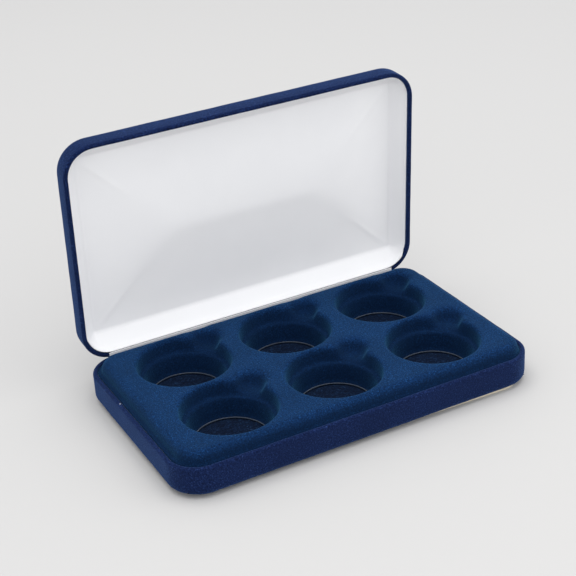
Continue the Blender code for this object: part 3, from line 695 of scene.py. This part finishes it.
def lining():
    x_out = lid_high.x - LINING_SIDE
    y_front = lid_low.y + LINING_SIDE
    y_back = lid_high.y - LINING_BACK
    corner = LID_CORNER - LINING_SIDE

    def rail(count, inner_low, inner_high):
        """Grid lines: band, panel, band, as (position inside the panel, band share)."""
        lines = [(inner_low, 1 - k / BAND_STEPS, -1) for k in range(BAND_STEPS)]
        lines += [(inner_low + (inner_high - inner_low) * k / count, 0.0, 0) for k in range(count + 1)]
        lines += [(inner_high, (k + 1) / BAND_STEPS, 1) for k in range(BAND_STEPS)]
        return lines

    columns = rail(PANEL_STEPS_X, -PANEL_X, PANEL_X)
    rows = rail(PANEL_STEPS_Y, PANEL_FRONT, PANEL_BACK)

    def outline_reach(start, direction):
        """Distance from a panel corner to the rounded outline."""
        side_y = y_back if direction.y > 0 else y_front
        turn = 1 if direction.y > 0 else -1
        centre = Vector((math.copysign(x_out - corner, start.x), side_y - turn * corner))
        from_centre = start - centre
        along = from_centre.dot(direction)
        root = along * along + corner * corner - from_centre.length_squared
        return -along + math.sqrt(max(root, 0.0))

    def straight_reach(value, limit_low, limit_high):
        """How far the rounded corner pulls the outline in at this place along a side."""
        over = max(0.0, value - (limit_high - corner), (limit_low + corner) - value)
        return corner - math.sqrt(max(corner * corner - over * over, 0.0))

    def wall(share, drop):
        """(plan share, depth) down the wall; share 1 is the rim, 0 the panel's edge."""
        bend = 0.75
        if share > bend:
            return 1.0, STRAIGHT + (drop - STRAIGHT) * (share - bend) / (1 - bend)
        run = share / bend
        return run, PANEL_DEPTH + (STRAIGHT - PANEL_DEPTH) * run

    bm = bmesh.new()
    bmesh.ops.create_grid(bm, x_segments=len(columns) - 1, y_segments=len(rows) - 1, size=0.5)
    for v in bm.verts:
        i = round((v.co.x + 0.5) * (len(columns) - 1))
        j = round((v.co.y + 0.5) * (len(rows) - 1))
        x, share_x, side_x = columns[i]
        y, share_y, side_y = rows[j]
        share = max(share_x, share_y)
        near_hinge = share_y if side_y > 0 else 0.0
        drop = LINING_DROP + (LINING_DROP_BACK - LINING_DROP) * near_hinge
        plan_share, depth = wall(share, drop)
        if share == 0.0:
            place = Vector((x, y))
            depth -= puff(x, y)
        elif share_x > 0 and share_y > 0:
            lean = share_y / share_x if share_x >= share_y else 2 - share_x / share_y
            angle = lean * math.pi / 4
            direction = Vector((side_x * math.cos(angle), side_y * math.sin(angle)))
            start = Vector((x, y))
            place = start + direction * outline_reach(start, direction) * plan_share
        elif share_x > 0:
            reach = x_out - straight_reach(y, y_front, y_back)
            place = Vector((side_x * (PANEL_X + (reach - PANEL_X) * plan_share), y))
        else:
            pull = straight_reach(x, -x_out, x_out)
            edge = y_back - pull if side_y > 0 else y_front + pull
            start = PANEL_BACK if side_y > 0 else PANEL_FRONT
            place = Vector((x, start + (edge - start) * plan_share))
        v.co = Vector((place.x, place.y, lid_low.z + depth))
    bmesh.ops.recalc_face_normals(bm, faces=bm.faces)
    if sum(f.normal.z for f in bm.faces) > 0:
        bmesh.ops.reverse_faces(bm, faces=bm.faces)
    return new_piece("satin_lining", bm, satin, OPENED)


satin_lining = thicken(lining(), SATIN)
settle(satin_lining, "lid", "white_satin", "lid_satin")


def wadding():
    """Pad behind the satin, with the same swell."""
    half = Vector((PANEL_X - WADDING_INSET, (PANEL_BACK - PANEL_FRONT) / 2 - WADDING_INSET))
    bm = bmesh.new()
    bmesh.ops.create_grid(bm, x_segments=60, y_segments=34, size=1.0,
                          matrix=Matrix.Diagonal((half.x, half.y, 1.0, 1.0)))
    for v in bm.verts:
        y = v.co.y + (PANEL_BACK + PANEL_FRONT) / 2
        v.co = Vector((v.co.x, y, lid_low.z + PANEL_DEPTH - puff(v.co.x, y) + WADDING_BEHIND))
    bmesh.ops.reverse_faces(bm, faces=bm.faces)
    return thicken(new_piece("lining_wadding", bm, wool, OPENED), WADDING)


lining_wadding = settle(wadding(), "lid", "white_foam", "lid_foam")


# ---- hinge ribbon -------------------------------------------------------------------

RIBBON = 0.2 * MM
RIBBON_LONGER = 3.5 * MM         # ribbon past each end of the solid it stands for


def ribbon():
    low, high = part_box("hinge_cover_strip")
    length = high.x - low.x + 2 * RIBBON_LONGER
    bm = bmesh.new()
    bmesh.ops.create_grid(bm, x_segments=80, y_segments=10, size=0.5,
                          matrix=Matrix.Diagonal((length, high.z - low.z, 1.0, 1.0)))
    bmesh.ops.rotate(bm, verts=bm.verts, cent=(0, 0, 0), matrix=Matrix.Rotation(math.pi / 2, 3, "X"))
    bmesh.ops.translate(bm, verts=bm.verts, vec=(0, (low.y + high.y) / 2, (low.z + high.z) / 2))
    ruffle(bm, 0.08 * MM, 70.0, 7.0)
    return thicken(new_piece("hinge_ribbon", bm, satin), RIBBON)


hinge_ribbon = ribbon()
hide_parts("hinge_cover_strip")
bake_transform(hinge_ribbon)


# ---- card under the base ---------------------------------------------------------------

CARD_BACK = 2.2 * MM             # card in from the outline of the solid it stands for
CARD_ASKEW = math.radians(-2.0)
CARD_CORNER = BASE_CORNER - 3.2 * MM - CARD_BACK


def base_card():
    """Card glued on slightly askew, so that its edge shows most near one front corner."""
    low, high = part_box("bottom_card")
    inset = Vector((CARD_BACK, CARD_BACK, 0.0))
    bm = bmesh.new()
    rounded_block(bm, low + inset, high - inset, CARD_CORNER)
    bmesh.ops.rotate(bm, verts=bm.verts, cent=(0, 0, 0), matrix=Matrix.Rotation(CARD_ASKEW, 3, "Z"))
    round_edges(bm, edges_at(bm, low.z) + edges_at(bm, high.z), 0.15 * MM, 2)
    outwards(bm)
    return new_piece("base_card", bm, card)


settle(base_card(), "base", "cream_card", "bottom_card")


# ---- finishes on the pieces that keep their own shape ---------------------------------------

KEPT = {"base_shell": plastic, "lid_shell": plastic, "tray_collar": board, "lid_card": board}
for name in nodes:
    if "leaf" in name or "pin" in name:
        KEPT[name] = nickel
    if "spring" in name:
        KEPT[name] = blued
    if "rivet" in name:
        KEPT[name] = aluminium
for name, material in KEPT.items():
    slots = nodes[name].data.materials
    slots.clear()
    slots.append(material)


# ---- floor, light and camera ------------------------------------------------------------------

def studio():
    bm = bmesh.new()
    bmesh.ops.create_grid(bm, x_segments=8, y_segments=8, size=4.0)
    paper = Finish("pale_paper", roughness=0.75, specular=0.2)
    tone = paper.grain(1.2, detail=1.0)
    paper.colour(paper.blend(paper.remap(tone, 0.3, 0.7), (0.522, 0.518, 0.512), (0.540, 0.535, 0.528)))
    paper.bump(paper.grain(400.0), 0.05, 0.1 * MM)
    floor = new_piece("studio_floor", bm, paper.material)

    world = bpy.data.worlds.new("studio")
    bpy.context.scene.world = world
    world.use_nodes = True
    background = world.node_tree.nodes["Background"]
    background.inputs["Color"].default_value = (0.97, 0.98, 1.0, 1.0)
    background.inputs["Strength"].default_value = 0.96

    lamps = (("top_box", (-0.1, 0.0, 1.9), 1.9, 21.5, (1.0, 0.99, 0.98)),
             ("front_box", (-0.7, -1.3, 0.8), 1.2, 2.4, (0.98, 0.99, 1.0)),
             ("right_box", (1.2, -0.9, 0.7), 1.4, 4.6, (1.0, 1.0, 1.0)))
    for name, place, size, power, tint in lamps:
        lamp = bpy.data.lights.new(name, "AREA")
        lamp.shape = "DISK"
        lamp.size = size
        lamp.energy = power
        lamp.color = tint
        made = bpy.data.objects.new(name, lamp)
        made.location = place
        made.rotation_euler = (Vector((0, 0, 0.03)) - Vector(place)).to_track_quat("-Z", "Y").to_euler()
        bpy.context.scene.collection.objects.link(made)


CAMERA_PLACE = (-0.29286, -0.55991, 0.38727)
CAMERA_TURNS = (math.radians(26.86), math.radians(27.45), math.radians(-3.55))
FOCAL_LENGTH = 87.94


def camera():
    lens = bpy.data.cameras.new("camera")
    lens.sensor_width = 36.0
    lens.lens = FOCAL_LENGTH
    lens.clip_start = 0.01
    lens.clip_end = 50.0
    made = bpy.data.objects.new("camera", lens)
    bpy.context.scene.collection.objects.link(made)
    yaw, pitch, roll = CAMERA_TURNS
    ahead = Vector((math.sin(yaw) * math.cos(pitch), math.cos(yaw) * math.cos(pitch), -math.sin(pitch)))
    level = Vector((math.cos(yaw), -math.sin(yaw), 0.0))
    above = level.cross(ahead)
    right = math.cos(roll) * level + math.sin(roll) * above
    up = -math.sin(roll) * level + math.cos(roll) * above
    made.matrix_world = Matrix.Translation(CAMERA_PLACE) @ Matrix((
        (right.x, up.x, -ahead.x, 0.0), (right.y, up.y, -ahead.y, 0.0),
        (right.z, up.z, -ahead.z, 0.0), (0.0, 0.0, 0.0, 1.0)))
    bpy.context.scene.camera = made


studio()
camera()
bpy.context.scene.view_settings.view_transform = "Standard"
